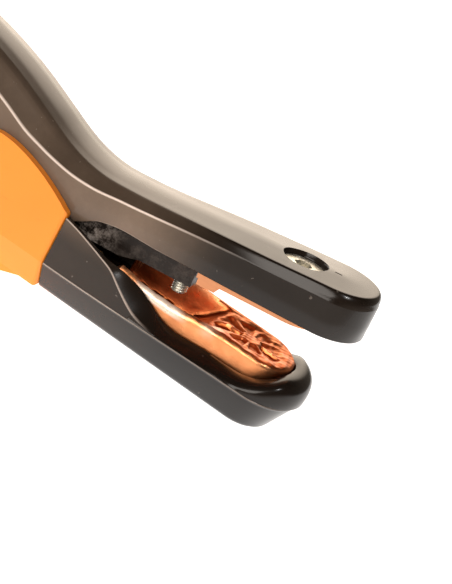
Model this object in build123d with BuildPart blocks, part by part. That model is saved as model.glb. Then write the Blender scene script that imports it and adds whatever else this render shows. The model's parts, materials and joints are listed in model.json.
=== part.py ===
"""Electrode holder: sprung lever jaw on a cable handle, built as separate pieces.

Row frame in millimetres: X along the handle towards the jaws, Z up on the lever side,
origin at the centre of the cable entry on the handle's rear face.
The lever body is drawn in its own frame at the pivot: u runs along the upper jaw's
contact face, w is square to it, and the lever stands open by open_angle.
"""
import os
from math import cos, radians, sin

from build123d import *

os.makedirs("parts", exist_ok=True)

# driving dimensions
jaw_z = 8.3            # height of the jaw contact plane above the handle axis
pivot_x = 146.0        # pivot position along the handle
open_angle = 8.0       # how far the lever stands open in the drawn pose, degrees
tip_x = 263.0          # nose of the lower jaw
seam_x = 178.0         # joint between the orange housing and the black jaw cover
wall_y = 17.0          # half width of housing and lower jaw
cheek_in = 14.4        # inner face of the housing cheeks
lever_y = 14.0         # half width of the lever shell
skin = 3.0             # shell wall thickness
lever_tip = 121.6      # lever tip measured along u
pin_r = 3.0            # pivot pin radius
bush_r = 4.5           # pivot bush outer radius
ear_in, ear_out = 6.3, 10.0         # fork ears of the lever core
copper_y = 10.5        # half width of the copper jaws
core_y = 7.4           # half width of the lever core
socket_r, socket_bore = 10.0, 6.5   # cable socket
floor_z = -13.1        # underside of the lower jaw
rest_z = -19.0         # flats the holder lies on
screw_u, seat_w = 97.2, 14.5        # jaw screw position and the floor of its recess
stud_u, stud_y = 67.6, 4.5          # pair of core screws
star_x, star_reach = 239.2, 18.0    # middle and length of the electrode grooves
trough_z = -1.0        # floor of the lower jaw's rear trough
rear_u, rear_w = -62.0, 44.2        # rear lever screw and its head seat
arm_y = 9.0            # half width of the steel lever arm
spring_x, spring_r, wire_r = 118.0, 6.0, 0.9
spring_low, spring_high = 18.6, 36.4   # spring ends in the drawn pose
groove_r = 2.2         # electrode groove radius
lock_x = 100.0         # handle lock screw position

c8, s8 = cos(radians(open_angle)), sin(radians(open_angle))
pivot = (pivot_x, 0, jaw_z)
side = Plane.XZ                                                         # sketch x, z
lever_side = Plane(origin=pivot, x_dir=(c8, 0, s8), z_dir=(0, -1, 0))   # sketch u, w
lever_plan = Plane(origin=pivot, x_dir=(c8, 0, s8), z_dir=(-s8, 0, c8))  # sketch u, y


def save(piece, name):
    """Label a finished sub-part and write its STEP file."""
    piece.part.label = name
    export_step(piece.part, f"parts/{name}.step")


def across(x, z, y=0.0):
    """Plane square to Y through a point given in the row frame, facing -Y."""
    return Plane(origin=(x, y, z), x_dir=(1, 0, 0), z_dir=(0, -1, 0))


def along(x, z=0.0):
    """Plane square to X, sketch axes y and z."""
    return Plane(origin=(x, 0, z), x_dir=(0, 1, 0), z_dir=(1, 0, 0))


def poly(plane, points):
    """Closed straight-sided outline on a plane."""
    with BuildSketch(plane) as face:
        with BuildLine():
            Polyline(*points, close=True)
        make_face()
    return face.sketch


def smooth(plane, low_points, top_points):
    """Closed outline: straight segments below, one smooth line on top."""
    with BuildSketch(plane) as face:
        with BuildLine():
            Spline(*top_points)
            Polyline(top_points[-1], *reversed(low_points), top_points[0])
        make_face()
    return face.sketch


def jaw_outline(plane, x0, x1, half, rear_r=0):
    """Straight-sided outline with a half-round front end and optional rear corner radius."""
    centre = x1 - half
    with BuildSketch(plane) as face:
        with BuildLine():
            Polyline((centre, half), (x0, half), (x0, -half), (centre, -half))
            ThreePointArc((centre, -half), (x1, 0), (centre, half))
        make_face()
        if rear_r:
            fillet(face.vertices().sort_by(Axis((0, 0, 0), plane.x_dir))[:2], rear_r)
    return face.sketch


def rounds(plane, radius, *spots):
    """Circles of one radius at the given spots of a plane."""
    with BuildSketch(plane) as face:
        with Locations(*spots):
            Circle(radius)
    return face.sketch


def screw(plane, spots, length, shank, head, head_h, socket):
    """Cap screws: head on the plane's positive side, shank below it, hex socket on top."""
    with BuildPart() as group:
        extrude(rounds(plane, shank, *spots), amount=-length)
        extrude(rounds(plane, head, *spots), amount=head_h)
        with BuildSketch(plane.offset(head_h)):
            with Locations(*spots):
                RegularPolygon(socket, 6)
        extrude(amount=-head_h * 0.65, mode=Mode.SUBTRACT)
    return group


def flat_screw(plane, spots, length, shank, head, socket):
    """Countersunk screws: head face on the plane, shank below it, hex socket on top."""
    with BuildPart() as group:
        extrude(rounds(plane, shank, *spots), amount=-length)
        with Locations(*[plane.location * Location((x, y, -(head - shank) / 2)) for x, y in spots]):
            Cone(shank, head, head - shank)
        with BuildSketch(plane):
            with Locations(*spots):
                RegularPolygon(socket, 6)
        extrude(amount=-(head - shank) * 0.75, mode=Mode.SUBTRACT)
    return group


def star_cutters(plane, reach):
    """Crossing round grooves centred on the plane's origin, each a little shallower than the last."""
    with BuildPart() as cutters:
        for order, turn in enumerate((0, 90, 45, 135)):
            with Locations(plane.location * Location((0, 0, order * 0.13), (0, 0, turn))
                           * Location((0, 0, 0), (0, 90, 0))):
                Cylinder(groove_r, reach)
    return cutters.part


# ---------------------------------------------------------------- lever shell
top_line = [(-88, 44.0), (-70, 46.2), (-50, 46.4), (-32, 43.6), (-15, 38.6), (0, 32.2), (13.6, 24.6),
            (20, 20.8), (24.8, 18.4), (29.7, 16.6), (34.8, 15.4), (44.7, 14.8), (55, 14.9), (65, 15.3),
            (75, 15.7), (93, 16.2), (103, 16.5), (lever_tip, 16.8)]
low_line = [(-88, 35.5), (-70, 37.2), (-50, 37.4), (-32, 35.0), (-20, 30.5), (-13, 24.0), (-10.5, 14.0),
            (-9.5, 0), (-6.7, -6.7), (0, -9.5), (10, -9.2), (20, -6.7), (30, -2.6), (36.6, 0.8), (42.4, 3.4),
            (60, 3.0), (90, 2.4), (lever_tip, 2.0)]

with BuildPart() as lever_shell:
    extrude(smooth(lever_side, low_line, top_line), amount=lever_y, both=True)
    extrude(jaw_outline(lever_plan.offset(-20), -95, lever_tip, lever_y), amount=75, mode=Mode.INTERSECT)
    roof = ShapeList([f for f in lever_shell.faces() if f.normal_at().Z > 0.5]).sort_by(SortBy.AREA)[-1]
    rims = roof.edges().filter_by(lambda e: abs(e.center().Y) > 5 or e.center().X > 230)
    chamfer(rims, 3.2, 4.0, reference=roof)
    extrude(jaw_outline(lever_plan.offset(-20), -87.5, lever_tip + 20, lever_y + 0.2, 9), amount=75,
            mode=Mode.INTERSECT)
    # rear channel, open downwards
    extrude(poly(lever_side, [(-85, 30), (-85, 40.6), (-70, 42.4), (-50, 42.8), (-32, 40.2), (-15, 34.6),
                              (-5, 29.0), (2, 22), (2, 10.5), (-16, 10.5)]),
            amount=lever_y - skin, both=True, mode=Mode.SUBTRACT)
    # slot over the fork ears and the conductor lug
    extrude(poly(lever_side, [(-20, 15), (-20, -15), (26, -15), (34, 8), (27, 15)]),
            amount=ear_out + 0.3, both=True, mode=Mode.SUBTRACT)
    # long pocket over the core and the copper jaw
    extrude(jaw_outline(lever_plan.offset(10.5), 20, lever_tip - skin, lever_y - skin),
            amount=-30, mode=Mode.SUBTRACT)
    # screw boss with its recess and countersunk seat
    extrude(rounds(lever_plan.offset(5.1), 6, (screw_u, 0)), amount=6)
    extrude(rounds(lever_plan.offset(seat_w), 6.75, (screw_u, 0)), amount=8, mode=Mode.SUBTRACT)
    with Locations(lever_plan.location * Location((screw_u, 0, seat_w - 1.7))):
        Cone(3.2, 6.4, 3.41, mode=Mode.SUBTRACT)
    extrude(rounds(lever_plan.offset(4), 3.2, (screw_u, 0)), amount=12, mode=Mode.SUBTRACT)
    # pivot holes for the bushes, rear screw hole
    extrude(rounds(lever_side, bush_r, (0, 0)), amount=lever_y + 1, both=True, mode=Mode.SUBTRACT)
    extrude(rounds(lever_plan.offset(38), 2.6, (rear_u, 0)), amount=20, mode=Mode.SUBTRACT)
    extrude(rounds(lever_plan.offset(rear_w), 4.8, (rear_u, 0)), amount=8, mode=Mode.SUBTRACT)
save(lever_shell, "lever_shell")

# ---------------------------------------------------------------- lever core
with BuildPart() as lever_core:
    extrude(poly(lever_side, [(16, 9), (13, 4.5), (14, -4), (20, -5.6), (48, -6.2), (54, -4.6), (71, -4.9),
                              (71, 2.9), (55.6, 2.9), (55.6, 9)]), amount=core_y, both=True)
    extrude(rounds(lever_side, 8, (0, 0)), amount=ear_out, both=True)
    extrude(poly(lever_side, [(0.6, 7.7), (0.6, -7.7), (26, -5.7), (26, 7.7)]), amount=ear_out, both=True)
    extrude(poly(lever_side, [(-12, 12), (-12, -12), (12.5, -12), (12.5, 12)]),
            amount=ear_in, both=True, mode=Mode.SUBTRACT)
    extrude(rounds(lever_side, bush_r, (0, 0)), amount=15, both=True, mode=Mode.SUBTRACT)
    extrude(rounds(lever_plan.offset(4), 2.05, (21, 4), (21, -4)), amount=10, mode=Mode.SUBTRACT)
    extrude(rounds(lever_plan.offset(-8), 2.5, (stud_u, stud_y), (stud_u, -stud_y)),
            amount=20, mode=Mode.SUBTRACT)
save(lever_core, "lever_core")

# ---------------------------------------------------------------- upper copper jaw
with BuildPart() as upper_jaw_copper:
    extrude(jaw_outline(lever_plan.offset(0.1), 72.2, 110, copper_y - 0.1), amount=4.9)
    extrude(poly(lever_side, [(56, 3.0), (76, 3.0), (76, 7.0), (56, 7.0)]), amount=copper_y - 0.1, both=True)
    extrude(poly(lever_side, [(72.2, 1.2), (72.2, -3), (78, -3), (80.5, 1.2)]), amount=core_y, both=True)
    add(star_cutters(Plane(lever_plan.location * Location((star_x - pivot_x, 0, -0.6))), star_reach),
        mode=Mode.SUBTRACT)
    extrude(rounds(lever_plan.offset(-1), 3.05, (screw_u, 0)), amount=8, mode=Mode.SUBTRACT)
    extrude(rounds(lever_plan, 2.6, (stud_u, stud_y), (stud_u, -stud_y)), amount=12, mode=Mode.SUBTRACT)
save(upper_jaw_copper, "upper_jaw_copper")

upper_jaw_screw = flat_screw(lever_plan.offset(seat_w - 0.05), [(screw_u, 0)], 13.6, 2.95, 6.1, 2.9)
save(upper_jaw_screw, "upper_jaw_screw")

core_screws = screw(lever_plan.offset(7.05), [(stud_u, stud_y), (stud_u, -stud_y)], 15.75, 2.45, 4.1, 3.0, 2.3)
save(core_screws, "core_screws")

# ---------------------------------------------------------------- lever arm, bushes, spring guide
arm_line = [(-80, 41.0), (-70, 42.2), (-50, 42.6), (-32, 40.0), (-15, 34.3), (-5.5, 28.6), (1.6, 21.4),
            (1.6, 11.8), (27, 11.8), (27, 9.2), (-1.2, 9.2), (-1.2, 20.2), (-8, 26.6), (-17, 31.8),
            (-33, 37.4), (-50, 39.9), (-70, 39.5), (-80, 38.3)]
with BuildPart() as lever_arm:
    extrude(poly(lever_side, arm_line), amount=arm_y, both=True)
    extrude(rounds(lever_plan, 2.1, (21, 4), (21, -4)), amount=14, mode=Mode.SUBTRACT)
    extrude(rounds(lever_plan.offset(34), 2.1, (rear_u, 0)), amount=12, mode=Mode.SUBTRACT)
save(lever_arm, "lever_arm")

lever_arm_screws = screw(lever_plan.offset(11.85), [(21, 4), (21, -4)], 7.5, 2.0, 3.4, 2.2, 1.7)
save(lever_arm_screws, "lever_arm_screws")

lever_rear_screw = screw(lever_plan.offset(rear_w + 0.05), [(rear_u, 0)], 6.5, 2.0, 4.4, 1.9, 1.8)
save(lever_rear_screw, "lever_rear_screw")

with BuildPart() as pivot_bushes:
    for face_y in (-lever_y, ear_in):
        extrude(rounds(lever_side.offset(-face_y), bush_r - 0.02, (0, 0)), amount=-(lever_y - ear_in))
    extrude(rounds(lever_side, pin_r + 0.05, (0, 0)), amount=lever_y + 1, both=True, mode=Mode.SUBTRACT)
save(pivot_bushes, "pivot_bushes")

with BuildPart() as spring_guide:
    with Locations((spring_x, 0, 39.5)):
        Cylinder(7.4, 6)
    with Locations((spring_x, 0, 36)):
        Cylinder(4.3, 7)
    extrude(poly(lever_side, [(-60, 39.8), (-50, 39.8), (-33, 37.3), (-17, 31.7), (-8, 26.5), (-8, 50), (-60, 50)]),
            amount=20, both=True, mode=Mode.SUBTRACT)
save(spring_guide, "spring_guide")

# ---------------------------------------------------------------- spring and its seat
with BuildPart() as spring:
    with BuildLine(Plane((spring_x, 0, spring_low + wire_r))) as coil:
        Helix((spring_high - spring_low - 2 * wire_r) / 6, spring_high - spring_low - 2 * wire_r, spring_r)
    with BuildSketch(Plane(coil.line @ 0, z_dir=coil.line % 0)):
        Circle(wire_r)
    sweep()
save(spring, "spring")

with BuildPart() as spring_seat:
    with Locations((spring_x, 0, 17)):
        Cylinder(8.4, 5)
    with Locations((spring_x, 0, 20)):
        Cylinder(7.2, 3, mode=Mode.SUBTRACT)
    with Locations((spring_x, 0, 20)):
        Cylinder(4.3, 4)
    with Locations((spring_x, 0, 15)):
        Cylinder(5.0, 6)
save(spring_seat, "spring_seat")

# ---------------------------------------------------------------- handle housing
def section(x, half, top, low, top_y, top_h, low_y, low_h, low_bulge):
    """Handle cross-section: four sides joined by four corner curves."""
    def corner(a, b, bulge):
        dy, dz = b[0] - a[0], b[1] - a[1]
        return ThreePointArc(a, ((a[0] + b[0]) / 2 + dz * bulge, (a[1] + b[1]) / 2 - dy * bulge), b)
    with BuildSketch(along(x)) as face:
        with BuildLine():
            Line((half, low + low_h), (half, top - top_h))
            corner((half, top - top_h), (half - top_y, top), 0.207)
            Line((half - top_y, top), (top_y - half, top))
            corner((top_y - half, top), (-half, top - top_h), 0.207)
            Line((-half, top - top_h), (-half, low + low_h))
            corner((-half, low + low_h), (low_y - half, low), low_bulge)
            Line((low_y - half, low), (half - low_y, low))
            corner((half - low_y, low), (half, low + low_h), low_bulge)
        make_face()
    return face.sketch


grip = [(15, 16.4, 16.4, -16.4, 16.2, 16.2, 16.2, 16.2, 0.207),
        (36, 16.8, 16.8, -16.8, 16.6, 16.6, 16.6, 16.6, 0.207),
        (60, 17.0, 17.0, -17.0, 16.8, 16.8, 16.8, 16.8, 0.207),
        (84, 16.8, 16.8, -16.8, 16.6, 16.6, 16.6, 16.6, 0.207),
        (105, 16.4, 16.5, -16.6, 16.0, 16.0, 16.0, 16.0, 0.207),
        (114, 16.4, 16.6, -16.9, 15.3, 15.3, 14.4, 15.6, 0.2),
        (122, 16.6, 17.0, -17.4, 13.4, 13.4, 12.0, 15.0, 0.18),
        (130, 16.8, 18.3, -18.2, 9.8, 9.8, 9.2, 15.2, 0.12),
        (137, 16.9, 20.4, -18.8, 6.0, 6.0, 7.0, 15.6, 0.06),
        (143, 17.0, 22.4, rest_z, 3.0, 3.0, 6.0, 16.0, 0.02),
        (149, wall_y, 23.7, rest_z, 1.5, 1.5, 5.6, 16.3, 0.005)]
head_top = [(149, 23.7), (154, 23.6), (159.6, 22.5), (168.9, 19.2), (seam_x - 0.3, 14.5)]
head_low = [(149, rest_z), (156, rest_z), (159.5, -18.4), (166.3, -15.2), (171.5, floor_z), (seam_x - 0.3, floor_z)]

with BuildPart() as head:
    extrude(smooth(side, head_low, head_top), amount=wall_y, both=True)
    extrude(poly(along(149), [(wall_y, 30), (wall_y, -2.7), (12.6, floor_z), (11.4, rest_z - 0.5),
                              (-11.4, rest_z - 0.5), (-12.6, floor_z), (-wall_y, -2.7), (-wall_y, 30)]),
            amount=30, mode=Mode.INTERSECT)
    fillet(head.edges().group_by(Axis.X)[-1], 1.4)

with BuildPart() as handle_housing:
    loft([section(*row) for row in grip], ruled=True)
    add(head.part)
    # room for the lever's forks, open on top and to the front
    extrude(poly(side, [(130.5, 40), (130.5, 2), (134, -1.8), (seam_x + 1, -1.8), (seam_x + 1, 40)]),
            amount=cheek_in, both=True, mode=Mode.SUBTRACT)
    # room for the conductor below it
    extrude(poly(side, [(128, 3), (128, -3), (132, -8), (150, -10.7), (seam_x + 1, -10.7), (seam_x + 1, 3)]),
            amount=10.8, both=True, mode=Mode.SUBTRACT)
    extrude(rounds(along(10), 12.5, (0, 0)), amount=121.3, mode=Mode.SUBTRACT)
    # pivot holes with seats for the caps
    extrude(rounds(across(pivot_x, jaw_z), pin_r + 0.05, (0, 0)), amount=20, both=True, mode=Mode.SUBTRACT)
    for face_y in (-wall_y - 1, wall_y - 1.1):
        extrude(rounds(across(pivot_x, jaw_z, face_y), 5.0, (0, 0)), amount=-2.1, mode=Mode.SUBTRACT)
    # finger rings round the grip
    for ring_x in range(34, 99, 8):
        with Locations(Location((ring_x, 0, 0), (0, 90, 0))):
            Torus(18.0, 1.7, mode=Mode.SUBTRACT)
    # lock screw hole from below, spring seat hole on top
    extrude(rounds(Plane.XY, 3.1, (lock_x, 0)), amount=-20, mode=Mode.SUBTRACT)
    extrude(rounds(Plane.XY.offset(-14.6), 5.2, (lock_x, 0)), amount=-5, mode=Mode.SUBTRACT)
    extrude(rounds(Plane.XY.offset(14.45), 8.45, (spring_x, 0)), amount=8, mode=Mode.SUBTRACT)
    extrude(rounds(Plane.XY.offset(8), 5.05, (spring_x, 0)), amount=8, mode=Mode.SUBTRACT)
save(handle_housing, "handle_housing")

with BuildPart() as end_collar:
    extrude(rounds(along(0), 21, (0, 0)), amount=14.8)
    fillet(end_collar.edges(), 2.2)
    extrude(poly(side, [(-5, rest_z), (20, rest_z), (20, 30), (-5, 30)]), amount=30, both=True,
            mode=Mode.INTERSECT)
    extrude(rounds(along(14), 12.4, (0, 0)), amount=15)
    extrude(rounds(along(-1), 11, (0, 0)), amount=40, mode=Mode.SUBTRACT)
    for turn in range(12):
        with Locations(Location((0, 0, 0), (turn * 30 + 15, 0, 0)) * Location((7.4, 0, 22.2))):
            Box(9, 2.4, 4, mode=Mode.SUBTRACT)
save(end_collar, "end_collar")

# ---------------------------------------------------------------- conductor and its screws
with BuildPart() as conductor:
    extrude(rounds(along(32), socket_r, (0, 0)), amount=54)
    extrude(poly(side, [(84, -6), (84, 6), (138, 6), (146, 12), (152, 4), (160, 0.4), (186, 0.4), (190, -6),
                        (190, -10.6), (150, -10.6), (140, -6)]), amount=6, both=True)
    extrude(rounds(across(pivot_x, jaw_z), 8, (0, 0)), amount=6, both=True)
    extrude(jaw_outline(Plane.XY.offset(-10.6), 166, 250, 9), amount=4.6)
    extrude(rounds(across(pivot_x, jaw_z), pin_r + 0.02, (0, 0)), amount=20, both=True, mode=Mode.SUBTRACT)
    extrude(rounds(along(31), socket_bore, (0, 0)), amount=47, mode=Mode.SUBTRACT)
    extrude(rounds(Plane.XY.offset(3), 4.0, (44, 0), (60, 0)), amount=10, mode=Mode.SUBTRACT)
    extrude(rounds(Plane.XY, 3.0, (lock_x, 0)), amount=-20, mode=Mode.SUBTRACT)
    extrude(rounds(Plane.XY, 3.05, (206, 0), (232, 0)), amount=-20, mode=Mode.SUBTRACT)
    for screw_x in (206, 232):
        with Locations((screw_x, 0, -9.05)):
            Cone(6.15, 3.05, 3.1, mode=Mode.SUBTRACT)
    extrude(rounds(Plane.XY, 2.5, (219, 0)), amount=-20, mode=Mode.SUBTRACT)
save(conductor, "conductor")

with BuildPart() as cable_clamp_screws:
    extrude(rounds(Plane.XY.offset(6.9), 3.9, (44, 0), (60, 0)), amount=4.4)
    with BuildSketch(Plane.XY.offset(11.3)):
        with Locations((44, 0), (60, 0)):
            RegularPolygon(2.3, 6)
    extrude(amount=-3.2, mode=Mode.SUBTRACT)
save(cable_clamp_screws, "cable_clamp_screws")

down = Plane(origin=(0, 0, 0), x_dir=(1, 0, 0), z_dir=(0, 0, -1))
handle_lock_screw = screw(down.offset(14.65), [(lock_x, 0)], 13, 2.95, 4.9, 1.8, 2.3)
save(handle_lock_screw, "handle_lock_screw")

lower_jaw_screws = flat_screw(down.offset(10.55), [(206, 0), (232, 0)], 8.2, 3.0, 6.0, 2.9)
save(lower_jaw_screws, "lower_jaw_screws")

lower_cover_screw = flat_screw(down.offset(-floor_z - 0.1), [(219, 0)], 6.4, 2.45, 4.6, 2.3)
save(lower_cover_screw, "lower_cover_screw")

# ---------------------------------------------------------------- lower copper jaw
with BuildPart() as lower_jaw_copper:
    extrude(jaw_outline(Plane.XY.offset(-5.98), 195.5, 254.8, copper_y), amount=jaw_z + 5.98)
    chamfer(lower_jaw_copper.edges().group_by(Axis.Z)[-1], 0.6)
    extrude(poly(side, [(190, trough_z), (221, trough_z), (229.5, jaw_z + 1), (190, jaw_z + 1)]),
            amount=8.2, both=True, mode=Mode.SUBTRACT)
    add(star_cutters(Plane.XY.offset(jaw_z + 0.6).move(Location((star_x, 0, 0))), star_reach), mode=Mode.SUBTRACT)
    extrude(rounds(Plane.XY.offset(-2.0), 3.05, (206, 0), (232, 0)), amount=-10, mode=Mode.SUBTRACT)
save(lower_jaw_copper, "lower_jaw_copper")

# ---------------------------------------------------------------- lower jaw cover
crest = [(seam_x, 13.4), (182.6, 12.4), (187.3, 11.0), (192, 9.5), (196.7, 7.7), (200.3, 5.1), (204, 2.6),
         (208, 0.6), (214, -0.5), (222, -0.8), (232, -0.7), (243, -0.1), (250, 1.2), (256, 3.0), (tip_x, 4.4)]
lip_top = [(199.5, 9.2), (203, 7.3), (207, 5.3), (210.5, 3.5), (215, 1.5), (220, 0.6), (225.5, 0.9),
           (231, 1.4), (238, 1.6), (243, 2.0), (248, 3.6), (252, 5.8), (255, 7.8), (tip_x, 8.3)]

with BuildPart() as lower_jaw_cover:
    # boat-shaped hull: full width at the crease, narrower underneath
    loft([jaw_outline(Plane.XY.offset(floor_z), seam_x, 256.0, 12.5),
          jaw_outline(Plane.XY.offset(-1.6), seam_x, tip_x, wall_y)])
    fillet(lower_jaw_cover.edges().group_by(Axis.Z)[0].filter_by(lambda e: e.center().X > seam_x + 1), 2.0)
    extrude(jaw_outline(Plane.XY.offset(-1.6), seam_x, tip_x, wall_y), amount=30)
    extrude(smooth(side, [(seam_x, floor_z - 1), (tip_x, floor_z - 1)], crest), amount=30, both=True,
            mode=Mode.INTERSECT)

with BuildPart() as lip:
    extrude(jaw_outline(Plane.XY.offset(-4), 199.5, tip_x - 3.4, wall_y - 3.4), amount=30)
    extrude(smooth(side, [(199.5, -10), (tip_x, -10)], lip_top), amount=30, both=True, mode=Mode.INTERSECT)

with BuildPart() as jaw_cover:
    add(lower_jaw_cover.part)
    add(lip.part)
    extrude(jaw_outline(Plane.XY.offset(-10.7), seam_x - 1, 255.1, copper_y + 0.3), amount=40,
            mode=Mode.SUBTRACT)
    extrude(poly(side, [(seam_x - 1, -1.8), (190, -1.8), (196, 3.0), (199.4, 12), (199.4, 30),
                        (seam_x - 1, 30)]), amount=cheek_in, both=True, mode=Mode.SUBTRACT)
    with Locations((219, 0, -12.0)):
        Cone(4.95, 2.7, 2.25, mode=Mode.SUBTRACT)
    extrude(rounds(Plane.XY, 2.6, (219, 0)), amount=-20, mode=Mode.SUBTRACT)
save(jaw_cover, "lower_jaw_cover")

# ---------------------------------------------------------------- pivot pin and caps
with BuildPart() as pivot_pin:
    extrude(rounds(across(pivot_x, jaw_z), pin_r, (0, 0)), amount=15.8, both=True)
    chamfer(pivot_pin.edges(), 0.5)
save(pivot_pin, "pivot_pin")

with BuildPart() as pivot_caps:
    for face_y in (-wall_y + 0.1, wall_y - 1.0):
        extrude(rounds(across(pivot_x, jaw_z, face_y), 4.9, (0, 0)), amount=-0.9)
    chamfer(pivot_caps.edges().group_by(Axis.Y)[0], 0.3)
    chamfer(pivot_caps.edges().group_by(Axis.Y)[-1], 0.3)
save(pivot_caps, "pivot_caps")
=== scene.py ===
"""Look of the electrode holder: camera, light, materials and the finely shaped pieces.

Shapes are drawn in millimetres and placed in metres, in the CAD row frame: X along the handle to the
jaws, Z up, and the near side at -Y.
"""
import json
import math

import bmesh
import bpy
import numpy as np
from mathutils import Matrix, Vector


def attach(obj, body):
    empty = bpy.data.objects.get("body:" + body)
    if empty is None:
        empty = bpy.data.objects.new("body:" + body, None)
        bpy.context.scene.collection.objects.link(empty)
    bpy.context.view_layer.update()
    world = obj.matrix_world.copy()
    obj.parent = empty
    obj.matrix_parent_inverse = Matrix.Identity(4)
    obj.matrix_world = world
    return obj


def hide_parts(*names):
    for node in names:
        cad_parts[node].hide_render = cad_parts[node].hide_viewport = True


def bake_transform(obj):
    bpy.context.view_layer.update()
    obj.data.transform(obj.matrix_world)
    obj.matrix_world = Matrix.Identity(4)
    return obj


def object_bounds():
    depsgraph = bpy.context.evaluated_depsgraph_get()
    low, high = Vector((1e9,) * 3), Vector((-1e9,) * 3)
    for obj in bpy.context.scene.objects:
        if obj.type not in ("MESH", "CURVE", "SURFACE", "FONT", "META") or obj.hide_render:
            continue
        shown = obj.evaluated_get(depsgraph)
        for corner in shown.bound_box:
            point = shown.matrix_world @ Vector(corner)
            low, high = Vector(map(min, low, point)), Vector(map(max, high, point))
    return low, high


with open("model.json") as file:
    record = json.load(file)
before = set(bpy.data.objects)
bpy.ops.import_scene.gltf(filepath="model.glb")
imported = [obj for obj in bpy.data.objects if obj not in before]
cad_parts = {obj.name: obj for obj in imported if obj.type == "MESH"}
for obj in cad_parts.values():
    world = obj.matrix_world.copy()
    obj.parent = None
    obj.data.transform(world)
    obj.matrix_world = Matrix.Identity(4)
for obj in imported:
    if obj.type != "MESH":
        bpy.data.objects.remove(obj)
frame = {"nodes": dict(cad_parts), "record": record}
cad_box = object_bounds()
nodes = frame["nodes"]
mm = 0.001

# ------------------------------------------------------------------ driving sizes
lever_joint = frame["record"]["behaviour"]["joints"][0]
pivot = Vector(lever_joint["pos_m"])
open_angle = math.radians(8.0)


# ------------------------------------------------------------------ shader nodes
def multiply(tree, a, b):
    """Product of two sockets, or of a socket and a number."""
    node = tree.nodes.new("ShaderNodeMath")
    node.operation = "MULTIPLY"
    for socket, value in zip(node.inputs, (a, b)):
        if isinstance(value, float):
            socket.default_value = value
        else:
            tree.links.new(value, socket)
    return node.outputs[0]


def eased_range(tree, source, low, high, at_low, at_high):
    """Smooth change from at_low to at_high while the source goes from low to high."""
    node = tree.nodes.new("ShaderNodeMapRange")
    node.interpolation_type = "SMOOTHSTEP"
    tree.links.new(source, node.inputs["Value"])
    for name, value in (("From Min", low), ("From Max", high), ("To Min", at_low), ("To Max", at_high)):
        node.inputs[name].default_value = value
    return node.outputs["Result"]


class Nodes:
    """A small helper that builds one procedural material."""

    def __init__(self, name):
        self.material = bpy.data.materials.new(name)
        self.material.use_nodes = True
        self.tree = self.material.node_tree
        self.shader = self.tree.nodes["Principled BSDF"]
        self.coords = self.tree.nodes.new("ShaderNodeTexCoord").outputs["Object"]

    def link(self, source, target):
        self.tree.links.new(source, target)

    def noise(self, scale, detail=4.0, rough=0.6, stretch=(1, 1, 1)):
        mapping = self.tree.nodes.new("ShaderNodeMapping")
        mapping.inputs["Scale"].default_value = stretch
        self.link(self.coords, mapping.inputs["Vector"])
        node = self.tree.nodes.new("ShaderNodeTexNoise")
        node.inputs["Scale"].default_value = scale
        node.inputs["Detail"].default_value = detail
        node.inputs["Roughness"].default_value = rough
        self.link(mapping.outputs["Vector"], node.inputs["Vector"])
        return node.outputs["Fac"]

    def ramp(self, source, stops):
        node = self.tree.nodes.new("ShaderNodeValToRGB")
        elements = node.color_ramp.elements
        while len(elements) < len(stops):
            elements.new(0.5)
        for element, (place, colour) in zip(elements, stops):
            element.position = place
            element.color = (*colour, 1)
        self.link(source, node.inputs["Fac"])
        return node.outputs["Color"]

    def grey(self, source, stops):
        return self.ramp(source, [(place, (value, value, value)) for place, value in stops])

    def mix(self, factor, a, b):
        node = self.tree.nodes.new("ShaderNodeMix")
        node.data_type = "RGBA"
        self.link(factor, node.inputs[0])
        for socket, value in ((node.inputs[6], a), (node.inputs[7], b)):
            if isinstance(value, tuple):
                socket.default_value = (*value, 1)
            else:
                self.link(value, socket)
        return node.outputs[2]

    def times(self, a, b):
        return multiply(self.tree, a, b)

    def axis(self, letter):
        """Place along one row axis, in metres."""
        node = self.tree.nodes.new("ShaderNodeSeparateXYZ")
        self.link(self.coords, node.inputs[0])
        return node.outputs[letter]

    def facing(self, letter):
        """Share of the surface normal along one row axis, -1 to 1."""
        node = self.tree.nodes.new("ShaderNodeSeparateXYZ")
        self.link(self.tree.nodes.new("ShaderNodeTexCoord").outputs["Normal"], node.inputs[0])
        return node.outputs[letter]

    def span(self, source, low, high, at_low, at_high):
        return eased_range(self.tree, source, low, high, at_low, at_high)

    def bump(self, height, strength, distance, under=None):
        node = self.tree.nodes.new("ShaderNodeBump")
        node.inputs["Strength"].default_value = strength
        node.inputs["Distance"].default_value = distance
        self.link(height, node.inputs["Height"])
        if under is not None:
            self.link(under, node.inputs["Normal"])
        return node.outputs["Normal"]

    def painted_highlight(self):
        """Share of painted highlight on the edges, 0 to 1, as stored on the mesh by new_piece."""
        node = self.tree.nodes.new("ShaderNodeAttribute")
        node.attribute_name = "painted_highlight"
        return node.outputs["Fac"]

    def finish(self, colour, rough, normal=None, **constants):
        self.link(colour, self.shader.inputs["Base Color"])
        self.link(rough, self.shader.inputs["Roughness"])
        if normal is not None:
            self.link(normal, self.shader.inputs["Normal"])
        for key, value in constants.items():
            self.shader.inputs[key.replace("_", " ")].default_value = value
        return self.material


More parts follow.
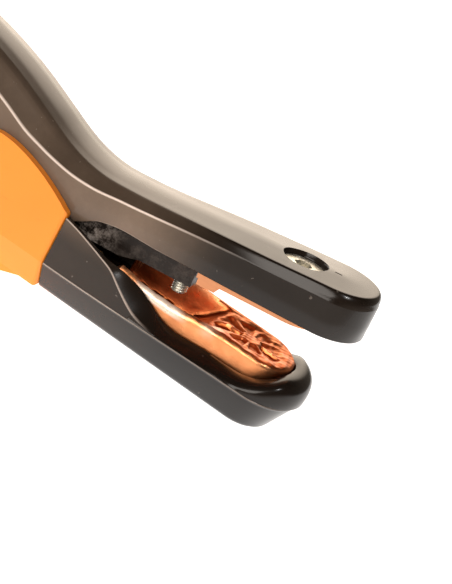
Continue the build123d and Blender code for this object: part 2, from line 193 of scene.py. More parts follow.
# ------------------------------------------------------------------ materials
def black_plastic():
    """Warm black moulding with a pale mottled film, paler towards the rear of the lever and on faces that
    don't point up: partly a handling film, partly painted reflection. Dust specks, and painted highlights on
    the creases.
    """
    m = Nodes("black_moulded_plastic")
    cloud = m.noise(38, 5, 0.62)
    base = m.mix(cloud, (0.0075, 0.0050, 0.0036), (0.014, 0.0095, 0.0070))
    # Partly painted reflection: a pale mottled film on high faces that don't point up, strongest towards the
    # handle and fading towards the jaws.
    along = m.axis("X")
    film = m.grey(m.noise(48, 6, 0.7), [(0.0, 0.55), (0.45, 0.75), (0.75, 1), (1.0, 1)])
    film_along_x = m.times(m.span(along, 0.192, 0.224, 0.95, 0.02), m.span(along, 0.050, 0.110, 0.15, 1.0))
    high_and_not_upward = m.times(m.span(m.axis("Z"), 0.006, 0.020, 0.13, 1.0),
                         m.span(m.facing("Z"), 0.25, 0.7, 1.0, 0.45))
    film_and_painted_reflection = m.times(m.times(film_along_x, high_and_not_upward), film)
    worn = m.mix(film_and_painted_reflection, base, (0.218, 0.152, 0.108))
    specks = m.grey(m.noise(620, 2, 0.5), [(0.0, 0), (0.735, 0), (0.765, 1), (1.0, 1)])
    dusted = m.mix(m.times(specks, 0.16), worn, (0.50, 0.42, 0.36))
    # Painted highlight: pale where the mesh marks the creases.
    colour = m.mix(m.painted_highlight(), dusted, (0.92, 0.76, 0.66))
    rough = m.grey(m.noise(90, 5, 0.6), [(0.3, 0.17), (0.7, 0.24)])
    wave = m.bump(m.noise(45, 2, 0.4), 0.22, 0.0006)
    grain = m.bump(m.noise(2600, 3, 0.6), 0.08, 0.00008, wave)
    return m.finish(colour, rough, grain, IOR=1.5, Specular_IOR_Level=0.30)


def orange_plastic():
    """Satin orange moulding, deeper in scuffs, with a faint flow texture."""
    m = Nodes("orange_moulded_plastic")
    cloud = m.noise(30, 4, 0.5)
    base = m.mix(cloud, (0.93, 0.255, 0.017), (0.98, 0.300, 0.026))
    scuff = m.grey(m.noise(420, 6, 0.75, (0.25, 1, 1)), [(0.0, 0), (0.60, 0), (0.72, 1), (1.0, 1)])
    colour = m.mix(m.times(scuff, 0.20), base, (0.60, 0.085, 0.010))
    rough = m.grey(m.noise(120, 4, 0.6), [(0.3, 0.34), (0.7, 0.44)])
    flow = m.bump(m.noise(50, 2, 0.4), 0.2, 0.0005)
    grain = m.bump(m.noise(1800, 3, 0.6), 0.10, 0.0001, flow)
    return m.finish(colour, rough, grain, IOR=1.45)


def copper(name, painted_side_shade):
    """Cast copper with random stains and a sand-cast skin.

    Painted shade on low floors that face up, on tops, in concave places and, by the second argument, on
    faces towards the near side. Painted shadow of the lever core over the rear of the trough. Painted
    highlights on the near outer face, on convex edges and on the ridges marked on the mesh.
    """
    m = Nodes(name)
    stain = m.grey(m.noise(150, 7, 0.68), [(0.30, 0), (0.70, 1)])
    base = m.mix(stain, (0.86, 0.30, 0.115), (0.66, 0.170, 0.048))
    # Painted shade: low floors that face up are darker.
    low_floor_painted_shade = m.times(m.span(m.axis("Z"), 0.0064, 0.0077, 1.0, 0.0),
                        m.span(m.facing("Z"), 0.25, 0.6, 0.0, 1.0))
    deep = m.mix(low_floor_painted_shade, base, (0.46, 0.110, 0.028))
    # Painted shadow of the lever core over the rear of the trough.
    trough_painted_shadow = m.mix(m.span(m.axis("X"), 0.198, 0.224, 0.85, 0.0), deep, (0.13, 0.022, 0.006))
    # Painted shade on tops that face up.
    tops_painted_shade = m.mix(m.span(m.facing("Z"), 0.45, 0.95, 0.0, 0.62), trough_painted_shadow, (0.36, 0.095, 0.028))
    # Painted light on the near outer face.
    near_face_painted_light = m.times(m.span(m.facing("Y"), -0.3, -0.8, 0.0, 0.5),
                      m.span(m.axis("Y"), -0.0072, -0.0088, 0.0, 1.0))
    near_face = m.mix(near_face_painted_light, tops_painted_shade, (0.95, 0.42, 0.18))
    # Painted shade on faces towards the near side, as strong as the second argument.
    side = m.span(m.facing("Y"), -0.85, -0.98, 0.0, painted_side_shade)
    shaded = m.mix(side, near_face, (0.20, 0.055, 0.020))
    hollow = m.tree.nodes.new("ShaderNodeNewGeometry").outputs["Pointiness"]
    # Painted shade in concave places and painted highlight on convex edges, from the pointiness.
    concave_painted_shade = m.mix(m.grey(hollow, [(0.36, 1), (0.47, 0)]), shaded, (0.22, 0.045, 0.012))
    bright = m.mix(m.times(m.grey(hollow, [(0.51, 0), (0.56, 1)]), 0.5), concave_painted_shade, (0.96, 0.46, 0.24))
    # Painted highlight: cream where the mesh marks it.
    colour = m.mix(m.painted_highlight(), bright, (1.0, 0.84, 0.70))
    rough = m.grey(m.noise(300, 5, 0.65), [(0.3, 0.26), (0.75, 0.46)])
    skin = m.bump(m.noise(170, 4, 0.6), 0.40, 0.0005)
    # Painted highlight: less metallic where the mesh marks it.
    m.link(m.span(m.painted_highlight(), 0.0, 1.0, 1.0, 0.45), m.shader.inputs["Metallic"])
    return m.finish(colour, rough, m.bump(m.noise(900, 6, 0.7), 0.22, 0.0002, skin))


def metal(name, light, dark, rough_low, rough_high, scale=500, bump=0.15):
    """Plated or cast metal with stains, a worked surface and pale dust where it faces up."""
    m = Nodes(name)
    plate = m.mix(m.grey(m.noise(scale * 0.3, 6, 0.7), [(0.35, 0), (0.7, 1)]), light, dark)
    dust = m.grey(m.noise(1100, 4, 0.7), [(0.0, 0), (0.50, 0), (0.58, 1), (1.0, 1)])
    settled = m.times(dust, m.span(m.facing("Z"), 0.3, 0.8, 0.05, 0.75))
    colour = m.mix(settled, plate, (0.72, 0.66, 0.54))
    rough = m.grey(m.noise(scale, 5, 0.6), [(0.3, rough_low), (0.7, rough_high)])
    return m.finish(colour, rough, m.bump(m.noise(scale * 2, 5, 0.65), bump, 0.0001), Metallic=0.85)


def dusty_core():
    """Near-black cast arm with pale dust lying in patches."""
    m = Nodes("dusty_dark_casting")
    patch = m.grey(m.noise(150, 8, 0.80), [(0.0, 0), (0.46, 0), (0.60, 1), (1.0, 1)])
    fine = m.grey(m.noise(800, 3, 0.6), [(0.0, 0), (0.64, 0), (0.72, 1), (1.0, 1)])
    base = m.mix(m.noise(300, 4, 0.6), (0.009, 0.0055, 0.004), (0.022, 0.014, 0.010))
    rear = m.span(m.axis("X"), 0.176, 0.194, 1.0, 0.05)
    dust = m.mix(m.times(patch, rear), base, (0.90, 0.78, 0.70))
    colour = m.mix(m.times(m.times(fine, rear), 0.4), dust, (0.62, 0.56, 0.50))
    rough = m.grey(patch, [(0, 0.36), (1, 0.8)])
    return m.finish(colour, rough, m.bump(m.noise(700, 5, 0.7), 0.4, 0.0003), Specular_IOR_Level=0.25)


def nylon():
    """Off-black nylon with a moulded grain."""
    m = Nodes("dark_nylon")
    colour = m.mix(m.noise(200, 4, 0.6), (0.03, 0.028, 0.026), (0.07, 0.065, 0.06))
    rough = m.grey(m.noise(400, 4, 0.6), [(0.3, 0.45), (0.7, 0.6)])
    return m.finish(colour, rough, m.bump(m.noise(1500, 3, 0.6), 0.2, 0.0001))


finishes = {
    "orange_plastic": orange_plastic(),
    "black_plastic": black_plastic(),
    "copper_cast": copper("cast_copper", 0.0),
    "brass_cast": metal("cast_brass", (0.78, 0.55, 0.25), (0.45, 0.30, 0.14), 0.3, 0.5),
    "core_cast": dusty_core(),
    "steel_zinc": metal("zinc_plated_steel", (0.78, 0.77, 0.72), (0.55, 0.52, 0.43), 0.2, 0.36, 900, 0.05),
    "spring_steel": metal("spring_steel", (0.62, 0.62, 0.62), (0.36, 0.36, 0.36), 0.22, 0.4),
    "seat_nylon": nylon(),
}
# Copper of the upper jaw, with painted shade on its faces towards the near side.
upper_copper = copper("cast_copper_with_painted_side_shade", 0.85)
slots = {part["node"]: part["material_slot"] for part in frame["record"]["subparts"]}


# ------------------------------------------------------------------ CAD nodes kept as they are
def soften(piece, width):
    """Rounded edges on a CAD node, without touching its mesh."""
    bevel = piece.modifiers.new("edge_rounding", "BEVEL")
    bevel.width = width
    bevel.segments = 3
    bevel.limit_method = "ANGLE"
    bevel.angle_limit = math.radians(35)


fine_rounding = 0.15
rounding = {"handle_housing": 1.0, "end_collar": 0.5, "conductor": 0.4, "lever_core": 0.5,
            "lever_arm": 0.3, "upper_jaw_copper": 0.7, "spring_seat": 0.3, "spring_guide": 0.3,
            "pivot_caps": 0.2}
for name, node in nodes.items():
    for slot in node.material_slots:
        slot.material = upper_copper if name == "upper_jaw_copper" else finishes[slots[name]]
    soften(node, rounding.get(name, fine_rounding) * mm)


# ------------------------------------------------------------------ mesh helpers
def new_piece(name, vertices, faces, slot_name, angle, painted_highlight=None):
    """A mesh piece with its finish, smooth except over sharp edges, with an optional painted highlight share
    per vertex.
    """
    mesh = bpy.data.meshes.new(name)
    mesh.from_pydata([tuple(v) for v in vertices], [], faces)
    if painted_highlight is not None:
        mesh.attributes.new("painted_highlight", "FLOAT", "POINT").data.foreach_set("value", painted_highlight)
    piece = bpy.data.objects.new(name, mesh)
    bpy.context.scene.collection.objects.link(piece)
    work = bmesh.new()
    work.from_mesh(mesh)
    bmesh.ops.remove_doubles(work, verts=work.verts, dist=1e-6)
    bmesh.ops.dissolve_degenerate(work, edges=work.edges, dist=1e-7)
    bmesh.ops.recalc_face_normals(work, faces=work.faces)
    work.to_mesh(mesh)
    work.free()
    smooth_by_angle(piece, angle)
    mesh.materials.append(finishes[slot_name])
    return piece


def smooth_by_angle(piece, angle):
    """Smooth shading with sharp edges above the angle in degrees."""
    mesh = piece.data
    mesh.polygons.foreach_set("use_smooth", [True] * len(mesh.polygons))
    mesh.set_sharp_from_angle(angle=math.radians(angle))


def smoothstep(a, b, x):
    """0 before a, 1 after b and eased between them; a may be the larger."""
    t = np.clip((np.asarray(x, float) - a) / (b - a), 0, 1)
    return t * t * (3 - 2 * t)


def curve(points):
    """Smooth curve through points, as a function of the first coordinate, level beyond its ends."""
    px = np.array([p[0] for p in points], float)
    py = np.array([p[1] for p in points], float)
    slope = np.gradient(py, px)

    def value(x):
        x = np.clip(np.asarray(x, float), px[0], px[-1])
        i = np.clip(np.searchsorted(px, x) - 1, 0, len(px) - 2)
        h = px[i + 1] - px[i]
        t = (x - px[i]) / h
        return ((2 * t**3 - 3 * t**2 + 1) * py[i] + (t**3 - 2 * t**2 + t) * h * slope[i]
                + (-2 * t**3 + 3 * t**2) * py[i + 1] + (t**3 - t**2) * h * slope[i + 1])
    return value


def ring_faces(count, n):
    """Quads that join count rings of n points each, laid one after another."""
    return [(k * n + i, k * n + (i + 1) % n, (k + 1) * n + (i + 1) % n, (k + 1) * n + i)
            for k in range(count - 1) for i in range(n)]


def boat_stations(x0, x1, half, step, rear_r=0.0, arc_steps=40):
    """Outline of a boat with a round nose, each point paired with the one that it shrinks towards."""
    centre = x1 - half
    rear = x0 + max(rear_r, 1e-6)
    side_x = np.linspace(rear, centre, max(3, int((centre - rear) / step)))
    outline = [((x, -half), (x, 0.0)) for x in side_x[:-1]]
    for angle in np.linspace(-90, 90, arc_steps):
        a = math.radians(angle)
        outline.append(((centre + half * math.cos(a), half * math.sin(a)), (centre, 0.0)))
    outline += [((x, half), (x, 0.0)) for x in side_x[::-1][1:]]
    if rear_r:
        hub = (x0 + half, 0.0)
        for angle in np.linspace(90, 180, 12)[1:]:
            a = math.radians(angle)
            outline.append(((rear + rear_r * math.cos(a), half - rear_r + rear_r * math.sin(a)), hub))
        for y in np.linspace(half - rear_r, rear_r - half, 16)[1:-1]:
            outline.append(((x0, y), hub))
        for angle in np.linspace(180, 270, 12)[:-1]:
            a = math.radians(angle)
            outline.append(((rear + rear_r * math.cos(a), rear_r - half + rear_r * math.sin(a)), hub))
    return np.array(outline)


def along_ring(value, x):
    """A number, or a function of x, at every station of a ring."""
    return value(x) if callable(value) else np.full(len(x), float(value))


def ring_loft(stations, half, profile):
    """Closed skin from (inset, height, painted highlight) steps, each a number or a function of x.

    The painted highlight share may be left out of a step, and is then 0.
    """
    rows, highlight_rows = [], []
    edge, hub = stations[:, 0], stations[:, 1]
    for inset, height, *highlight_share in profile:
        flat = edge + (hub - edge) * (along_ring(inset, edge[:, 0]) / half)[:, None]
        rows.append(np.column_stack([flat, along_ring(height, flat[:, 0])]))
        highlight_rows.append(along_ring(highlight_share[0] if highlight_share else 0.0, flat[:, 0]))
    return np.concatenate(rows), ring_faces(len(rows), len(stations)), np.concatenate(highlight_rows)


def lever_to_row(points):
    """Points drawn along the lever's contact face, in mm, to the row frame in metres."""
    c, s = math.cos(open_angle), math.sin(open_angle)
    p = np.asarray(points, float) * mm
    return np.column_stack([pivot.x + p[:, 0] * c - p[:, 2] * s, p[:, 1],
                            pivot.z + p[:, 0] * s + p[:, 2] * c])


def turned(steps, segments, centre):
    """Round solid about an upright axis from (radius, height) steps.

    A radius may be a function of the angle and the height.
    """
    points = []
    for radius, height in steps:
        for i in range(segments):
            a = 2 * math.pi * i / segments
            r = radius(a, height) if callable(radius) else radius
            points.append((centre[0] + r * math.cos(a), centre[1] + r * math.sin(a), height))
    faces = ring_faces(len(steps), segments)
    faces.append(tuple(range(segments))[::-1])
    faces.append(tuple((len(steps) - 1) * segments + i for i in range(segments)))
    return np.array(points), faces


def block(low_corner, high_corner):
    """Closed box as points and faces."""
    points = [(x, y, z) for x in (low_corner[0], high_corner[0]) for y in (low_corner[1], high_corner[1])
              for z in (low_corner[2], high_corner[2])]
    faces = [(0, 1, 3, 2), (4, 6, 7, 5), (0, 4, 5, 1), (2, 3, 7, 6), (0, 2, 6, 4), (1, 5, 7, 3)]
    return np.array(points), faces


def cut(piece, points, faces):
    """Subtract a closed shape from a piece and keep the result as its mesh."""
    mesh = bpy.data.meshes.new("cutter")
    mesh.from_pydata([tuple(v) for v in points], [], faces)
    tool = bpy.data.objects.new("cutter", mesh)
    bpy.context.scene.collection.objects.link(tool)
    boolean = piece.modifiers.new("cut", "BOOLEAN")
    boolean.operation = "DIFFERENCE"
    boolean.solver = "EXACT"
    boolean.object = tool
    bpy.context.view_layer.update()
    evaluated = piece.evaluated_get(bpy.context.evaluated_depsgraph_get())
    result = bpy.data.meshes.new_from_object(evaluated)
    piece.modifiers.remove(boolean)
    piece.data = result
    bpy.data.objects.remove(tool)
    bpy.data.meshes.remove(mesh)


# ------------------------------------------------------------------ lever shell
# Places along the lever are u, in mm from the pivot along its contact face.
# Heights are square to that face.
lever_half = 14.0
lever_rear_u, lever_tip_u = -87.6, 121.5
lever_rear_round = 9.0
crown_drop = 0.45
jaw_screw_u = 97.2
mark_u, mark_length, mark_half_width, mark_floor = 106.2, 2.2, 0.35, 16.25
above_the_top = 17.4
top_height = curve([(-88, 44.0), (-70, 46.2), (-50, 46.4), (-32, 43.6), (-15, 38.6), (0, 32.2),
                    (13.6, 24.6), (20, 20.8), (24.8, 18.4), (29.7, 16.6), (34.8, 15.4), (44.7, 14.8),
                    (55, 14.9), (65, 15.3), (75, 15.7), (93, 16.2), (103, 16.5), (121.6, 16.8)])
low_height = curve([(-88, 36.0), (-70, 37.6), (-50, 37.6), (-32, 35.0), (-20, 30.5), (-14, 24.0),
                    (-11.5, 12.0), (-9.8, 1.0), (-6.7, -6.4), (0, -9.2), (10, -8.9), (20, -6.5),
                    (30, -2.4), (36.6, 0.8), (40, 2.6), (43.5, 3.3), (60, 3.0), (90, 2.4),
                    (121.6, 2.0)])
roof_height = curve([(-88, 40.4), (-70, 42.4), (-50, 42.8), (-32, 40.2), (-15, 34.8), (0, 26.0),
                     (12, 19.0), (24, 14.0), (34, 10.8), (45, 10.5), (121.6, 10.5)])
crease_drop = curve([(-88, 4.5), (-50, 5.5), (-20, 7.6), (4, 8.3), (11.5, 8.3), (18, 6.9), (23.5, 5.7),
                     (29, 4.8), (34, 4.1), (39, 3.6), (44, 3.2), (53, 3.0), (79, 3.05), (95, 3.35),
                     (121.6, 3.5)])


def crease_height(u):
    """Height of the crease between the side face and the bevelled shoulder, lower in the bend."""
    return top_height(u) - crease_drop(u)


shoulder_width = curve([(-88, 1.05), (45, 1.05), (55, 0.95), (65, 0.72), (75, 0.50), (88, 0.34),
                        (121.6, 0.32)])


def shoulder(inset):
    """Width and height of the bevelled shoulder, a chamfer that turns into a round at the tip."""
    flat = float(np.interp(inset, (0.4, 1.8, 3.2, 3.9, 4.8, 6.5), (0.06, 0.42, 0.80, 0.94, 0.985, 1.0)))
    arc = math.sqrt(1 - (1 - min(inset, 5.0) / 5.0) ** 2)

    def height(u):
        tip = smoothstep(100, 119, u)
        rise = top_height(u) - crown_drop - crease_height(u)
        return crease_height(u) + rise * (flat * (1 - tip) + arc * tip)

    def width(u):
        return 0.18 + (inset - 0.18) * shoulder_width(u)
    return width, height


def lever_shell():
    """Black lever and upper jaw cover in one moulding."""
    stations = boat_stations(lever_rear_u, lever_tip_u, lever_half, 1.1, rear_r=lever_rear_round)
    low, roof, top, crease = low_height, roof_height, top_height, crease_height
    # Painted highlights: pale shares along the side's upper crease and along its lower lip.
    crease_painted_highlight = curve([(-88, 0.7), (10, 0.75), (40, 0.85), (55, 0.8), (66, 0.35), (80, 0.06),
                       (121.6, 0.02)])

    def lip_painted_highlight(u):
        return 0.30 * smoothstep(36, 42, u) * smoothstep(72, 50, u)

    profile = [(lever_half, roof), (3.6, roof), (3.1, lambda u: roof(u) - 0.6),
               (3.0, lambda u: low(u) + 1.0), (2.7, lambda u: low(u) + 0.25), (2.1, low), (0.9, low),
               (0.3, lambda u: low(u) + 0.22, lip_painted_highlight), (0.05, lambda u: low(u) + 0.6),
               (0.0, lambda u: 0.5 * (low(u) + crease(u))),
               (0.02, lambda u: crease(u) - 0.62), (0.04, lambda u: crease(u) - 0.26, crease_painted_highlight),
               (0.16, lambda u: crease(u) - 0.02, crease_painted_highlight)]
    profile += [shoulder(inset) for inset in (0.42, 1.1, 1.8, 2.5, 3.2, 3.9, 4.8, 6.5)]
    profile += [(8.5, lambda u: top(u) - 0.62 * crown_drop), (11.0, lambda u: top(u) - 0.22 * crown_drop),
                (lever_half, top)]
    points, faces, painted_highlight = ring_loft(stations, lever_half, profile)
    piece = new_piece("lever_shell_skin", lever_to_row(points), faces, "black_plastic", 60, painted_highlight)
    recess = [(3.1, 9.0), (3.1, 12.8), (6.2, 14.4), (6.6, 14.5), (6.72, 14.8), (6.75, 15.9), (7.0, 16.3),
              (7.6, above_the_top)]
    ring, sides = turned(recess, 64, (jaw_screw_u, 0.0))
    cut(piece, lever_to_row(ring), sides)
    mark, sides = block((mark_u, -mark_half_width, mark_floor),
                        (mark_u + mark_length, mark_half_width, above_the_top))
    cut(piece, lever_to_row(mark), sides)
    smooth_by_angle(piece, 38)
    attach(piece, "lever")
    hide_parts("lever_shell")


# ------------------------------------------------------------------ lower jaw cover
cover_half = 17.0
cover_rear_x, nose_x = 178.0, 263.0
cover_underside, cover_floor = -13.1, -10.6
copper_seat = 6.18
crest_height = curve([(178, 13.4), (182.6, 12.4), (187.3, 11.0), (192, 9.5), (196.7, 7.7), (200.3, 5.1),
                      (204, 2.6), (208, 0.4), (214, -0.9), (222, -1.1), (263, -1.1)])
lip_height = curve([(178, 13.3), (186, 11.2), (193, 9.4), (199.5, 8.6), (203, 7.2), (207, 5.3),
                    (210.5, 3.5), (215, 1.5), (220, 0.6), (225.5, 0.9), (231, 1.4), (238, 1.6),
                    (243, 2.0), (248, 3.6), (252, 5.8), (255, 7.8), (258, 8.25), (263, 8.3)])


def cover_crease(x):
    """Height of the crease along the cover's side, which rises towards the nose."""
    return -2.6 + 2.0 * smoothstep(178, 262, x)


def lower_jaw_cover():
    """Black boat-shaped insulator round the lower copper jaw.

    The real one is open to the rear between its two walls. Here the rings of ring_loft also close there,
    which leaves a sheet of no thickness across the rear end.
    """
    stations = boat_stations(cover_rear_x, nose_x, cover_half, 1.0, arc_steps=56)
    crease = cover_crease

    def front(x):
        return smoothstep(196, 208, x)

    def nose(x):
        return smoothstep(230, 254, x)

    def inner(x):
        return 2.65 + 3.53 * front(x) + 1.5 * smoothstep(248, nose_x, x)

    def crest(x):
        return np.maximum(crest_height(x), crease(x) + 0.5)

    def slope(share):
        """One step of the sloping top between the outer crest and the inner lip."""
        turn = 0.5 * math.pi * share
        round_in, round_up = 1 - abs(math.cos(turn)) ** 0.65, math.sin(turn) ** 0.65

        def inset(x):
            return 0.55 - 0.52 * nose(x) + (inner(x) - 0.8) * (share + (round_in - share) * nose(x))

        def height(x):
            bulge = 0.25 * (math.sin(turn) - share) * (1 - nose(x)) + (round_up - share) * nose(x)
            return crest(x) + (lip_height(x) - crest(x)) * (share + bulge)
        return inset, height

    def tucked(inset):
        return lambda x: inset + 0.6 * smoothstep(252, nose_x, x)

    # Painted highlights: pale shares along the crest and along the crease bead.
    def crest_painted_highlight(x):
        return 0.62 * smoothstep(216, 204, x)

    def bead_painted_highlight(x):
        return 0.22 + 0.18 * smoothstep(212, 200, x) - 0.12 * smoothstep(250, 262, x)

    profile = [
        (cover_half, cover_underside), (7.8, cover_underside), (6.4, -12.85), (5.5, -12.1), (5.0, -11.2),
        (tucked(0.45), lambda x: crease(x) - 0.8), (tucked(0.30), lambda x: crease(x) - 0.45),
        (tucked(0.05), lambda x: crease(x) - 0.25), (tucked(-0.02), lambda x: crease(x) - 0.05, bead_painted_highlight),
        (tucked(0.06), lambda x: crease(x) + 0.15, bead_painted_highlight), (tucked(0.22), lambda x: crease(x) + 0.27),
        (lambda x: 0.31 - 0.1 * nose(x), lambda x: np.maximum(crest(x) - 0.40, crease(x) + 0.34)),
        (lambda x: 0.35 - 0.25 * nose(x), lambda x: crest(x) - 0.10, crest_painted_highlight),
        (lambda x: 0.55 - 0.5 * nose(x), crest, crest_painted_highlight)]
    profile += [slope(share) for share in (0.07, 0.15, 0.3, 0.45, 0.6, 0.75, 0.88, 1.0)]
    profile += [
        (lambda x: inner(x) - 0.07, lambda x: lip_height(x) - 0.15), (inner, lambda x: lip_height(x) - 0.5),
        (inner, lambda x: (1 - front(x)) * -1.8 + front(x) * (lip_height(x) - 3.1)),
        (lambda x: np.maximum(copper_seat, inner(x)),
         lambda x: (1 - front(x)) * -1.9 + front(x) * (lip_height(x) - 3.6)),
        (lambda x: np.maximum(copper_seat, inner(x)) + 0.01, cover_floor), (cover_half, cover_floor)]
    points, faces, painted_highlight = ring_loft(stations, cover_half, profile)
    piece = new_piece("lower_jaw_cover_skin", points * mm, faces, "black_plastic", 50, painted_highlight)
    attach(piece, "handle")
    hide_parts("lower_jaw_cover")


# ------------------------------------------------------------------ lower copper jaw
copper_rear_x, copper_tip_x, copper_half = 195.5, 254.8, 10.5
copper_top, copper_underside = 8.3, -5.98
star_x, star_stretch = 239.8, 1.3
# Depth and reach of each cast hollow, in turn round the star.
hollows = ((1.0, 8.6), (0.9, 8.0), (1.3, 8.4), (1.5, 9.6), (1.8, 10.2), (1.3, 8.4), (1.1, 7.8), (1.4, 9.0))


def cast_lumps(x, y):
    """Gentle unevenness of a sand casting, in mm."""
    return (0.16 * np.sin(0.8 * x + 0.7 * y) * np.sin(0.6 * y - 0.45 * x + 1.0)
            + 0.06 * np.sin(2.3 * x - 1.7 * y + 1.0) * np.sin(1.1 * x + 2.1 * y))


def star_depth(x, y):
    """Depth of the star of electrode grooves and of the cast hollows between them."""
    r = np.hypot((x - star_x) / star_stretch, y)
    angle = np.arctan2(y, (x - star_x) / star_stretch)
    depth = np.zeros_like(r)
    for k in range(4):
        off = np.abs(r * np.sin(angle - k * math.pi / 4))
        depth = np.maximum(depth, 0.35 * smoothstep(1.5, 0.2, off) * smoothstep(9.6, 7.4, r))
    for k, (deep, reach) in enumerate(hollows):
        turn = np.abs(np.angle(np.exp(1j * (angle - (k + 0.5) * math.pi / 4))))
        width = smoothstep(0.36, 0.22, turn)
        depth = np.maximum(depth, deep * width * smoothstep(1.8, 3.4, r) * smoothstep(reach, reach - 2.4, r))
    return depth


def casting_top(x, y, inset):
    """Height of the copper's upper skin: rounded rim, rear trough that ramps up, star and hollows."""
    near = smoothstep(5, -8, y)
    radius = 0.5 + near * (2.3 - 0.9 * smoothstep(224, 236, x))
    under = np.clip(radius - inset, 0, None)
    worn = 1.2 * near * smoothstep(228, 216, x) * smoothstep(198, 206, x)
    rim = 8.25 - (radius - np.sqrt(radius**2 - under**2)) - worn
    floor = -1.2 + 13.0 * smoothstep(217.5, 236.0, x)
    wall = smoothstep(9.1, 7.7, np.abs(y))
    sunk = rim - floor
    top = rim - 0.5 * (sunk + np.hypot(sunk, 1.6)) * wall - star_depth(x, y) * smoothstep(0.3, 2.2, inset)
    return np.minimum(top + cast_lumps(x, y) * smoothstep(0.0, 1.0, inset), copper_top)


def rim_painted_highlight(x, y, inset):
    """Painted highlight on the near rim: along the trough and in one patch beside the star."""
    ridge = smoothstep(202, 206, x) * smoothstep(223, 216, x) * smoothstep(1.9, 0.9, inset)
    patch = smoothstep(3.4, 1.2, np.hypot((x - 228.5) / 1.4, y + 8.2))
    return smoothstep(0, -4, y) * np.maximum(0.85 * ridge, 0.45 * patch)


def lower_jaw_copper():
    """Cast copper jaw under its finely shaped upper skin, with the trough open to the rear."""
    stations = boat_stations(copper_rear_x, copper_tip_x, copper_half, 0.4, rear_r=1.5, arc_steps=72)
    insets = np.concatenate([[0.0, 0.08, 0.25, 0.5, 0.8], np.arange(1.1, copper_half, 0.3), [copper_half]])
    edge, hub = stations[:, 0], stations[:, 1]
    edge_top = casting_top(edge[:, 0], edge[:, 1], 0.0)
    side = ((1.0, copper_underside, 0.9), (0.04, copper_underside, 0.9), (0.0, -5.6, 0.7), (0.0, -0.5, 0.5),
            (0.0, 3.5, 0.3))
    rows = [np.column_stack([edge + (hub - edge) * share, np.minimum(height, edge_top - below)])
            for share, height, below in side]
    highlight_rows = [np.zeros(len(edge))] * len(rows)
    for inset in insets:
        flat = edge + (hub - edge) * (inset / copper_half)
        rows.append(np.column_stack([flat, casting_top(flat[:, 0], flat[:, 1], inset)]))
        highlight_rows.append(rim_painted_highlight(flat[:, 0], flat[:, 1], inset))
    faces = ring_faces(len(rows), len(stations))
    piece = new_piece("lower_jaw_copper_casting", np.concatenate(rows) * mm, faces, "copper_cast", 60,
                      np.concatenate(highlight_rows))
    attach(piece, "handle")
    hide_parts("lower_jaw_copper")


# ------------------------------------------------------------------ screws and spring
def core_screws():
    """Two M5 socket screws through the lever core, with their threads cut."""
    screw_u, side_y = 67.6, 4.5
    thread_r, pitch, depth = 2.42, 0.8, 0.42
    socket_r = 2.3

    def thread(angle, height):
        phase = (height / pitch - angle / (2 * math.pi)) % 1.0
        return thread_r - depth * smoothstep(0, 1, 1 - abs(2 * phase - 1)) ** 0.8

    heights = np.arange(-8.3, 3.0, 0.1)
    steps = [(1.75, -8.7), (2.0, -8.45)] + [(thread, h) for h in heights]
    steps += [(thread_r, 3.1), (thread_r, 7.05), (4.0, 7.05), (4.1, 7.2), (4.1, 9.7), (3.8, 10.05),
              (socket_r, 10.05), (socket_r, 8.1)]
    points, faces = [], []
    for y in (-side_y, side_y):
        ring, sides = turned(steps, 40, (screw_u, y))
        faces += [tuple(v + sum(len(part) for part in points) for v in side) for side in sides]
        points.append(ring)
    piece = new_piece("core_screws_threaded", lever_to_row(np.concatenate(points)), faces, "steel_zinc", 50)
    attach(piece, "lever")
    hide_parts("core_screws")


def lever_spring():
    """Compression spring with closed ends, held by the seat below and the lever above."""
    axis_x, low_z, high_z = 118, 19.5, 35.5
    radius, wire_r, turns = 6.0, 0.88, 7.0
    t = np.linspace(0, turns, int(turns * 40) + 1)
    rise = np.interp(t, (0, 0.9, turns - 0.9, turns), (0, 0.105, 0.895, 1))
    rise = np.convolve(np.pad(rise, 8, mode="edge"), np.ones(17) / 17, mode="valid")
    z = low_z + (high_z - low_z) * (rise - rise[0]) / (rise[-1] - rise[0])
    path = np.column_stack([axis_x + radius * np.cos(2 * math.pi * t), radius * np.sin(2 * math.pi * t), z])
    tangent = np.gradient(path, axis=0)
    tangent /= np.linalg.norm(tangent, axis=1)[:, None]
    outward = np.column_stack([np.cos(2 * math.pi * t), np.sin(2 * math.pi * t), np.zeros(len(t))])
    upward = np.cross(tangent, outward)
    sides = 12
    turn = 2 * math.pi * np.arange(sides) / sides
    rings = (path[:, None, :] + wire_r * (np.cos(turn)[None, :, None] * outward[:, None, :]
                                          + np.sin(turn)[None, :, None] * upward[:, None, :]))
    faces = ring_faces(len(t), sides)
    faces += [tuple(range(sides)), tuple((len(t) - 1) * sides + i for i in range(sides))]
    piece = new_piece("lever_spring_coil", rings.reshape(-1, 3) * mm, faces, "spring_steel", 50)
    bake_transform(piece)
    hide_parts("spring")


# ------------------------------------------------------------------ floor, light and camera
floor_z = cad_box[0][2] - 0.0002
key_tint, fill_tint = (1, 1, 1), (1.0, 0.93, 0.86)
backdrop_tint = (1.0, 0.85, 0.69, 1)


def floor():
    """Plain pale floor under the holder, lit from within behind it and dimmer in front of it."""
    bpy.ops.mesh.primitive_plane_add(size=8.0, location=(0.15, 0, floor_z))
    plane = bpy.context.object
    plane.name = "studio_floor"
    m = Nodes("pale_floor")
    colour = m.mix(m.noise(3, 3, 0.5), (0.90, 0.90, 0.90), (0.93, 0.93, 0.93))
    m.link(m.span(m.axis("Y"), -0.140, -0.075, 0.12, 1.0), m.shader.inputs["Emission Strength"])
    plane.data.materials.append(m.finish(colour, m.grey(m.noise(20), [(0.3, 0.85), (0.7, 0.9)]),
                                         Emission_Color=(1, 1, 1, 1)))


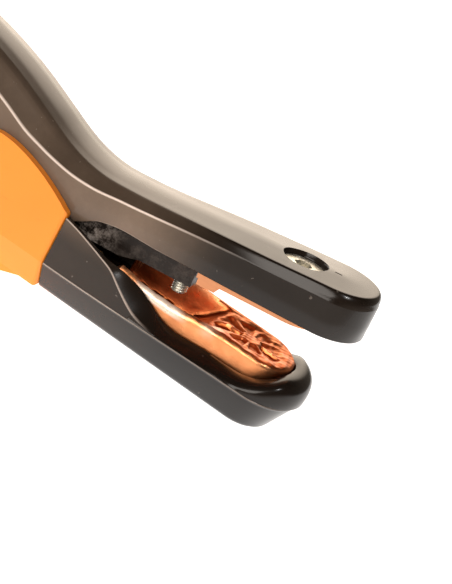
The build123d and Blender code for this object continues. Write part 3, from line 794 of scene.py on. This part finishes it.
def softbox(name, place, aim, size, power, tint):
    """Rectangular area light at a place, aimed at a point."""
    light = bpy.data.lights.new(name, "AREA")
    light.shape = "RECTANGLE"
    light.size, light.size_y = size
    light.energy = power
    light.color = tint
    lamp = bpy.data.objects.new(name, light)
    lamp.location = place
    lamp.rotation_euler = (Vector(aim) - Vector(place)).to_track_quat("-Z", "Y").to_euler()
    bpy.context.scene.collection.objects.link(lamp)


def surroundings():
    """Studio: bright low backdrop behind the holder, dimmer towards its jaws and overhead."""
    world = bpy.data.worlds.new("studio")
    world.use_nodes = True
    tree = world.node_tree
    split = tree.nodes.new("ShaderNodeSeparateXYZ")
    tree.links.new(tree.nodes.new("ShaderNodeTexCoord").outputs["Generated"], split.inputs[0])
    by_height = eased_range(tree, split.outputs["Z"], 0.48, 0.88, 1.0, 0.05)
    by_depth = eased_range(tree, split.outputs["Y"], -0.2, 0.9, 0.30, 3.3)
    by_side = eased_range(tree, split.outputs["X"], -0.12, 0.24, 1.0, 0.08)
    strength = multiply(tree, multiply(tree, by_height, by_depth), by_side)
    background = tree.nodes["Background"]
    tree.links.new(strength, background.inputs["Strength"])
    background.inputs["Color"].default_value = backdrop_tint
    bpy.context.scene.world = world


def camera(target, azimuth, elevation, roll, distance, lens):
    """Camera round the target: azimuth from the front, elevation above it, rolled about its axis."""
    a, e = math.radians(azimuth), math.radians(elevation)
    back = Vector((math.sin(a) * math.cos(e), -math.cos(a) * math.cos(e), math.sin(e)))
    right = Vector((math.cos(a), math.sin(a), 0))
    up = back.cross(right)
    turn = Matrix.Rotation(math.radians(roll), 3, back)
    right, up = turn @ right, turn @ up
    data = bpy.data.cameras.new("photo_camera")
    data.sensor_width = 36.0
    data.lens = lens
    data.clip_start = 0.01
    body = bpy.data.objects.new("photo_camera", data)
    place = Matrix((right, up, back)).transposed().to_4x4()
    place.translation = Vector(target) + back * distance
    body.matrix_world = place
    bpy.context.scene.collection.objects.link(body)
    bpy.context.scene.camera = body


lever_shell()
lower_jaw_cover()
lower_jaw_copper()
core_screws()
lever_spring()

floor()
surroundings()
jaw = Vector((0.2258, 0, 0.0155))
softbox("key", (0.72, -0.55, 0.80), jaw, (0.08, 0.08), 2.4, key_tint)
softbox("front_fill", (0.05, -0.65, 0.30), jaw, (0.60, 0.30), 3.4, fill_tint)
camera(jaw, azimuth=6.0, elevation=23.0, roll=32.25, distance=0.260, lens=54.5)
bpy.context.scene.view_settings.view_transform = "Standard"
